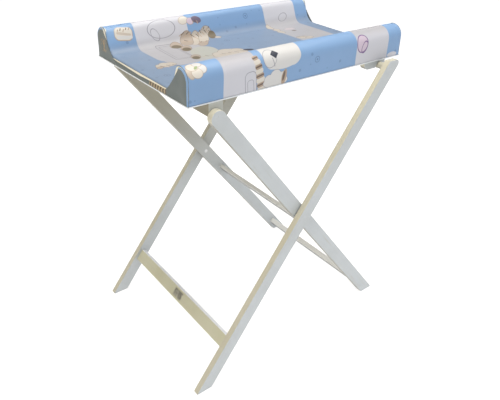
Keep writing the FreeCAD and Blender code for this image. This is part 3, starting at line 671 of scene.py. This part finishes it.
def end_vinyl():
    """Grey-green vinyl of the two end panels: pressed grain, soft folds, stripes, a brown patch, a hem."""
    finish, tree, shader = new_finish("end_vinyl")
    place = tree.nodes.new("ShaderNodeTexCoord").outputs["Object"]
    cloud = noise_step(tree, place, 11.0, 3.0)
    colour = colour_step(tree, cloud, (0.105, 0.135, 0.14), (0.155, 0.172, 0.16))
    parts = tree.nodes.new("ShaderNodeSeparateXYZ")
    tree.links.new(place, parts.inputs["Vector"])
    over, high = parts.outputs["Y"], parts.outputs["Z"]

    # tan and brown stripes between the hem and the lying surface, near the front corner
    pitch, row_middle = 0.013, -0.105
    stripe = math_step(tree, "SINE", math_step(tree, "MULTIPLY", over, 2 * math.pi / pitch))
    shade = colour_step(tree, ramp_step(tree, stripe, -0.2, 0.2), (0.12, 0.09, 0.06), (0.40, 0.32, 0.20))
    reach = math_step(tree, "ABSOLUTE", math_step(tree, "SUBTRACT", over, row_middle))
    window = ramp_step(tree, reach, 0.046, 0.040)
    window = math_step(tree, "MULTIPLY", window, ramp_step(tree, high, LYING - 0.001, LYING - 0.004))
    window = math_step(tree, "MULTIPLY", window, ramp_step(tree, high, PANEL_LOW + 0.002, PANEL_LOW + 0.004))
    colour = colour_step(tree, window, colour, shade)

    # mottled brown patch inside the rear long side
    patch = vector_step(tree, "SUBTRACT", place, (0.0, HALF_WIDE - 0.0428, LYING + 0.024))
    patch = vector_step(tree, "MULTIPLY", patch, (0.0, 1.0, 1.0))
    patch = ramp_step(tree, vector_step(tree, "LENGTH", patch), 0.026, 0.012)
    patch = math_step(tree, "MULTIPLY", patch, ramp_step(tree, noise_step(tree, place, 95.0), 0.47, 0.60))
    colour = colour_step(tree, patch, colour, (0.34, 0.24, 0.13))

    # dark hem along the bottom
    hem = ramp_step(tree, high, PANEL_LOW + 0.0025, PANEL_LOW + 0.0015)
    colour = colour_step(tree, hem, colour, (0.07, 0.08, 0.08))
    tree.links.new(colour, shader.inputs["Base Color"])
    shader.inputs["Roughness"].default_value = 0.5
    pressed = noise_step(tree, place, 900.0, 2.0)
    height = math_step(tree, "MULTIPLY_ADD", pressed, 0.08, noise_step(tree, place, 40.0))
    bump_step(tree, shader, height, 0.3, 0.0015)
    return finish


def rounded_path(corners, step):
    """Points at even steps along a line whose corners, (across, up, radius), are rounded by arcs.

    An arc's point is its centre plus the radii to its two ends, each times the sine of its share of the
    arc's angle, over the sine of the whole angle. The length run so far is given beside the points.
    """
    pieces = []
    for i, (x, y, radius) in enumerate(corners):
        here = np.array([x, y], float)
        if radius == 0:
            pieces.append(here[None])
            continue
        before = np.array(corners[i - 1][:2], float) - here
        after = np.array(corners[i + 1][:2], float) - here
        before /= np.linalg.norm(before)
        after /= np.linalg.norm(after)
        half = math.acos(float(before @ after)) / 2
        middle = (before + after) / np.linalg.norm(before + after)
        centre = here + middle * radius / math.sin(half)
        start = here + before * radius / math.tan(half) - centre
        finish = here + after * radius / math.tan(half) - centre
        sweep = np.linspace(0.0, 1.0, 25)[:, None]
        whole = math.pi - 2 * half
        arc = (np.sin((1 - sweep) * whole) * start + np.sin(sweep * whole) * finish) / math.sin(whole)
        pieces.append(centre + arc)
    line = np.concatenate(pieces)
    run = np.concatenate([[0.0], np.cumsum(np.linalg.norm(np.diff(line, axis=0), axis=1))])
    count = int(round(run[-1] / step)) + 1
    even = np.linspace(0.0, run[-1], count)
    return np.stack([np.interp(even, run, line[:, 0]), np.interp(even, run, line[:, 1])], 1), even


def grid_faces(rows, columns, first, flip=False):
    """Four-sided faces of a grid of points numbered row by row."""
    r, c = np.meshgrid(np.arange(rows - 1), np.arange(columns - 1), indexing="ij")
    a = (first + r * columns + c).ravel()
    faces = np.stack([a, a + 1, a + columns + 1, a + columns], 1)
    return faces[:, ::-1] if flip else faces


def mesh_from(name, points, faces, finishes, slots, unroll=None):
    """Mesh object from points and faces, with a finish number per face and an unrolled place per point."""
    mesh = bpy.data.meshes.new(name)
    mesh.from_pydata(points.tolist(), [], faces.tolist())
    for finish in finishes:
        mesh.materials.append(finish)
    mesh.polygons.foreach_set("material_index", np.asarray(slots, np.int32))
    mesh.polygons.foreach_set("use_smooth", np.full(len(faces), True))
    if unroll is not None:
        layer = mesh.uv_layers.new(name="unroll")
        layer.data.foreach_set("uv", unroll[faces.ravel()].astype(np.float32).ravel())
    mesh.update()
    piece = bpy.data.objects.new(name, mesh)
    bpy.context.scene.collection.objects.link(piece)
    return piece


def channel_corners():
    """Corners of the cover's cross-section from the front seam over both long sides to the rear seam."""
    front = [
        (-HALF_WIDE, PANEL_LOW, 0),
        (-HALF_WIDE, CROWN, CROWN_OUT),
        (-HALF_WIDE + SIDE_TOP, CROWN, CROWN_IN),
        (-HALF_WIDE + SIDE_FOOT, LYING, HOLLOW),
    ]
    return front + [(-y, z, r) for y, z, r in reversed(front)]


def cover_shape(step):
    """Closed skin of the padded top.

    The upper side is the cross-section carried along X, drawn in near each end by a quarter circle that
    fades out at the base. Each end is filled by straight rules from the cross-section to the base line.
    They swell outward by half a sine wave along the rule, times half a sine wave round the section to the
    power 0.4, times a twentieth of the rule's length, of which 80 mm count. The base is a flat grid.
    """
    line, run = rounded_path(channel_corners(), step)
    total = run[-1]

    # rows along X, close together where the ends round
    plain = HALF_LONG - END_ROWS
    across = np.linspace(-plain, plain, int(2 * plain / step))
    edge = np.array([0.0, 0.0003, 0.0010, 0.0022, 0.0040, 0.0065])
    xs = np.concatenate([-HALF_LONG + edge, across, HALF_LONG - edge[::-1]])

    # upper side and base
    depth = np.clip(END_ROUND - (HALF_LONG - np.abs(xs)), 0.0, END_ROUND)
    draw = END_ROUND - np.sqrt(END_ROUND ** 2 - depth ** 2)
    slope = np.gradient(line, axis=0)
    slope /= np.linalg.norm(slope, axis=1)[:, None]
    inward = np.stack([slope[:, 1], -slope[:, 0]], 1)
    fade = np.clip((line[:, 1] - PANEL_LOW) / 0.012, 0.0, 1.0)[:, None]
    rows, columns = len(xs), len(line)
    skin = line[None] + inward[None] * fade[None] * draw[:, None, None]
    skin[:, :, 0] = np.clip(skin[:, :, 0], -HALF_WIDE + draw[:, None], HALF_WIDE - draw[:, None])
    upper = np.empty((rows, columns, 3))
    upper[:, :, 0] = xs[:, None]
    upper[:, :, 1:] = skin
    base = np.empty((rows, columns, 3))
    base[:, :, 0] = xs[:, None]
    share = run / total
    base[:, :, 1] = upper[:, :1, 1] + (upper[:, -1:, 1] - upper[:, :1, 1]) * share[None]
    base[:, :, 2] = PANEL_LOW
    points, faces, slots, unroll = [], [], [], []
    count = 0

    def add(grid, flip, slot, u, v):
        """Adds a grid of points with its faces, their finish number and the points' unrolled places."""
        nonlocal count
        r, c = grid.shape[:2]
        points.append(grid.reshape(-1, 3))
        made = grid_faces(r, c, count, flip)
        faces.append(made)
        slots.append(np.full(len(made), slot))
        unroll.append(np.stack([np.broadcast_to(u, (r, c)).ravel(), np.broadcast_to(v, (r, c)).ravel()], 1))
        count += r * c

    add(upper, True, 0, xs[:, None], run[None])
    add(base, False, 1, xs[:, None], run[None])

    # both ends
    swell_share, longest = 0.05, 0.08
    levels = np.linspace(0.0, 1.0, 9)
    for row, side in ((0, -1), (-1, 1)):
        top, low = upper[row], base[row]
        end = top[None] * (1 - levels[:, None, None]) + low[None] * levels[:, None, None]
        swell = np.sin(math.pi * levels)[:, None] * np.sin(math.pi * share)[None] ** 0.4
        reach = np.linalg.norm(top - low, axis=1)
        end[:, :, 0] += side * swell_share * swell * np.clip(reach, 0, longest)[None]
        add(end, side > 0, 1, xs[row], run[None])
    points, faces = np.concatenate(points), np.concatenate(faces)
    return points, faces, np.concatenate(slots), np.concatenate(unroll), total


def weld(piece, distance=0.00002):
    """Merges doubled points and turns every face outward."""
    work = bmesh.new()
    work.from_mesh(piece.data)
    bmesh.ops.remove_doubles(work, verts=work.verts, dist=distance)
    bmesh.ops.dissolve_degenerate(work, dist=distance, edges=work.edges)
    bmesh.ops.recalc_face_normals(work, faces=work.faces)
    work.to_mesh(piece.data)
    work.free()


def points_of(mesh):
    """All of a mesh's points as an array."""
    flat = np.empty(len(mesh.vertices) * 3, np.float64)
    mesh.vertices.foreach_get("co", flat)
    return flat.reshape(-1, 3)


def puff(piece):
    """Blows the cover up a little as cloth over foam, then keeps each point within its own limit.

    The limit is nothing at the base and at the bottom seam, 1 mm on the outer faces, up to 4 mm on the
    lying surface and the inner slopes.
    """
    rest = points_of(piece.data)
    cloth = piece.modifiers.new("cloth", "CLOTH")
    settings = cloth.settings
    settings.quality = 5
    settings.mass = 0.35
    settings.tension_stiffness = 25.0
    settings.compression_stiffness = 12.0
    settings.bending_stiffness = 1.2
    settings.use_pressure = True
    settings.uniform_pressure_force = 4.0
    settings.effector_weights.gravity = 0.0
    cloth.collision_settings.use_collision = False
    scene = bpy.context.scene
    for step in range(1, 21):
        scene.frame_set(step)
    shaped = piece.evaluated_get(bpy.context.evaluated_depsgraph_get())
    moved = points_of(shaped.data) - rest
    piece.modifiers.remove(cloth)
    scene.frame_set(1)
    outer_limit, inner_limit = 0.001, 0.004
    rise = np.clip((rest[:, 2] - PANEL_LOW) / 0.02, 0.0, 1.0)
    inside = np.clip((HALF_WIDE - 0.006 - np.abs(rest[:, 1])) / 0.03, 0.0, 1.0)
    limit = rise * (outer_limit + (inner_limit - outer_limit) * inside)
    size = np.linalg.norm(moved, axis=1)
    tiny = 1e-9
    kept = limit * np.tanh(size / np.maximum(limit, tiny))
    scale = np.where(size > tiny, kept / np.maximum(size, tiny), 0.0)
    piece.data.vertices.foreach_set("co", (rest + moved * scale[:, None]).astype(np.float32).ravel())
    piece.data.update()


def make_cover():
    """Printed cover over the foam, blown up as cloth and smoothed once."""
    points, faces, slots, unroll, total = cover_shape(0.008)
    finishes = [printed_vinyl(total * 1000), end_vinyl()]
    cover = mesh_from("printed_cover", points, faces, finishes, slots, unroll)
    weld(cover)
    puff(cover)
    smooth = cover.modifiers.new("smooth", "SUBSURF")
    smooth.levels = 1
    smooth.render_levels = 1
    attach(cover, "board")
    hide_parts("pad_cover")


def make_end_welts():
    """Thin welded ridge round each end panel: a small round profile carried along the cross-section."""
    line = rounded_path(channel_corners(), 0.004)[0]
    slope = np.gradient(line, axis=0)
    slope /= np.linalg.norm(slope, axis=1)[:, None]
    outward = np.stack([-slope[:, 1], slope[:, 0]], 1)
    turn = np.linspace(0.0, 2 * math.pi, 9)[:-1]
    radius, from_end, sunk = 0.0011, 0.0035, 0.0012
    finish = backing_vinyl("welt_vinyl", (0.17, 0.22, 0.28), 0.5)
    for side, word in ((-1, "left"), (1, "right")):
        ring = np.empty((len(line), len(turn), 3))
        ring[:, :, 0] = side * (HALF_LONG - from_end) + radius * np.cos(turn)[None]
        lift = radius * np.sin(turn)[None] - sunk
        ring[:, :, 1:] = line[:, None] + outward[:, None] * lift[:, :, None]
        points = ring.reshape(-1, 3)
        faces = grid_faces(len(line), len(turn), 0)
        closing = np.arange(len(line) - 1) * len(turn) + len(turn) - 1
        wrap = np.stack([closing, closing - len(turn) + 1, closing + 1, closing + len(turn)], 1)
        faces = np.concatenate([faces, wrap])
        piece = mesh_from(word + "_end_welt", points, faces, [finish], np.zeros(len(faces)))
        work = bmesh.new()
        work.from_mesh(piece.data)
        bmesh.ops.holes_fill(work, edges=[e for e in work.edges if e.is_boundary])
        bmesh.ops.recalc_face_normals(work, faces=work.faces)
        work.to_mesh(piece.data)
        work.free()
        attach(piece, "board")


def finish_node(name, finish):
    """Gives a CAD node its one finish."""
    slots = nodes[name].data.materials
    slots.clear()
    slots.append(finish)


def finish_all():
    """Paint, metal, vinyl and foam on the pieces that come from the CAD model."""
    inner_slope, outer_slope = 128.3, 52.8
    inner_paint = painted_wood("inner_leg_paint", inner_slope)
    outer_paint = painted_wood("outer_leg_paint", outer_slope)
    bar_paint = painted_wood("crossbar_paint", None)
    grey_bar_paint = painted_wood("inner_crossbar_paint", None, GREY_EDGES)
    # the outer crossbar gets a painted highlight along its upper edge
    outer_bar_paint = painted_wood("outer_crossbar_paint", None, OLIVE_EDGES, highlight_towards=(0.605, 0.0, 0.797))
    block_paint = painted_wood("hook_block_paint", 0.0)
    steel = zinc_steel("zinc_steel", 1.0)
    inner_steel = zinc_steel("inner_fasteners", INNER_BACK - HEAD_PAINT)
    outer_steel = zinc_steel("outer_fasteners", OUTER_BACK - HEAD_PAINT)
    beech = bare_wood()
    foam = plain_finish("foam_block", (0.85, 0.80, 0.66), 0.95)
    board = plain_finish("fibreboard", (0.36, 0.25, 0.16), 0.8)
    nylon = plain_finish("nylon_washer", (0.82, 0.82, 0.80), 0.45)
    under = backing_vinyl("underside_vinyl", (0.66, 0.65, 0.60), 0.6)
    seam = backing_vinyl("seam_vinyl", (0.80, 0.84, 0.88), 0.35)
    label = stamped_label()
    finish_node("inner_leg_front", inner_paint)
    finish_node("outer_leg_front", outer_paint)
    # the rear legs get painted shade towards their top ends
    finish_node("inner_leg_rear", painted_wood("inner_rear_paint", inner_slope, shaded_top=True))
    finish_node("outer_leg_rear", painted_wood("outer_rear_paint", outer_slope, shaded_top=True))
    for name in ("upper_inner_crossbar", "lower_inner_crossbar"):
        finish_node(name, grey_bar_paint)
    finish_node("lower_outer_crossbar", outer_bar_paint)
    finish_node("top_crossbar", bar_paint)
    for name in ("hook_block_front", "hook_block_rear"):
        finish_node(name, block_paint)
    finish_node("pivot_rail", primer_and_shaded_wood())
    for name in ("rail_inserts", "rail_screws", "hook_screws", "pivot_washers", "crossing_nuts"):
        finish_node(name, steel)
    for name in ("pivot_bolts", "inner_crossbar_screws"):
        finish_node(name, inner_steel)
    for name in ("crossing_bolts", "outer_crossbar_screws"):
        finish_node(name, outer_steel)
    for name in ("inner_crossbar_dowels", "outer_crossbar_dowels"):
        finish_node(name, beech)
    for name in ("mattress_foam", "front_side_foam", "rear_side_foam"):
        finish_node(name, foam)
    finish_node("base_panel", board)
    finish_node("crossing_spacers", nylon)
    finish_node("cover_underside", under)
    finish_node("welded_seam", seam)
    finish_node("maker_label", label)


make_room()
make_camera()
finish_all()
make_cover()
make_end_welts()
